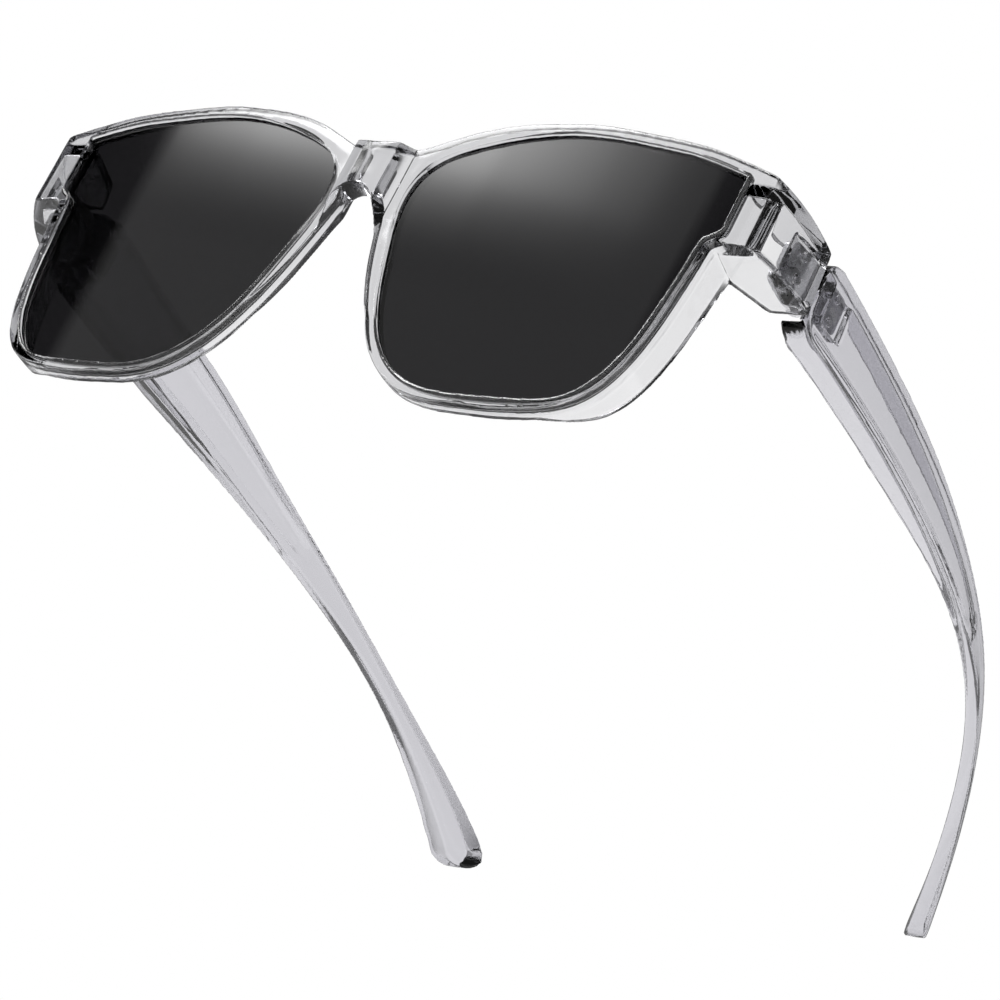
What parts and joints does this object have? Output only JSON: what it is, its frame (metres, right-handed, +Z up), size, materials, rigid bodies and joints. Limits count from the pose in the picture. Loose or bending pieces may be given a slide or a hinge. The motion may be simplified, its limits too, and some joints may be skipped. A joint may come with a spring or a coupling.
{
  "type": "fitover sunglasses",
  "caption": "Fitover sunglasses in clear smoke-grey plastic with dark lenses, side shields and folding temples.",
  "frame": {"origin": "middle of the footprint, on the surface that the open glasses stand on", "axes": "+X towards the wearer's left, -Y the way the wearer looks, +Z up"},
  "size_m": [0.1572, 0.1552, 0.0549],
  "materials": {
    "frame_plastic": "gloss",
    "temple_plastic": "gloss",
    "lens_dark": "gloss",
    "hinge_metal": "satin",
    "screw_metal": "satin"
  },
  "bodies": {
    "front": {"front_frame": "frame_plastic", "lens_left": "lens_dark", "lens_right": "lens_dark", "hinge_front_leaf_left": "hinge_metal", "hinge_front_leaf_right": "hinge_metal", "hinge_screw_left": "screw_metal", "hinge_screw_right": "screw_metal", "front_leaf_pins_left": "screw_metal", "front_leaf_pins_right": "screw_metal"},
    "temple_left_body": {"temple_left": "temple_plastic", "hinge_temple_leaf_left": "hinge_metal", "temple_leaf_pins_left": "screw_metal"},
    "temple_right_body": {"temple_right": "temple_plastic", "hinge_temple_leaf_right": "hinge_metal", "temple_leaf_pins_right": "screw_metal"}
  },
  "joints": [
    {"name": "left_temple_fold", "type": "hinge", "parent": "front", "child": "temple_left_body", "pos_m": [0.07227, -0.0525, 0.03945], "axis": [0, 0, 1], "range_deg": [0, 82]},
    {"name": "right_temple_fold", "type": "hinge", "parent": "front", "child": "temple_right_body", "pos_m": [-0.07227, -0.0525, 0.03945], "axis": [0, 0, -1], "range_deg": [0, 76]}
  ]
}
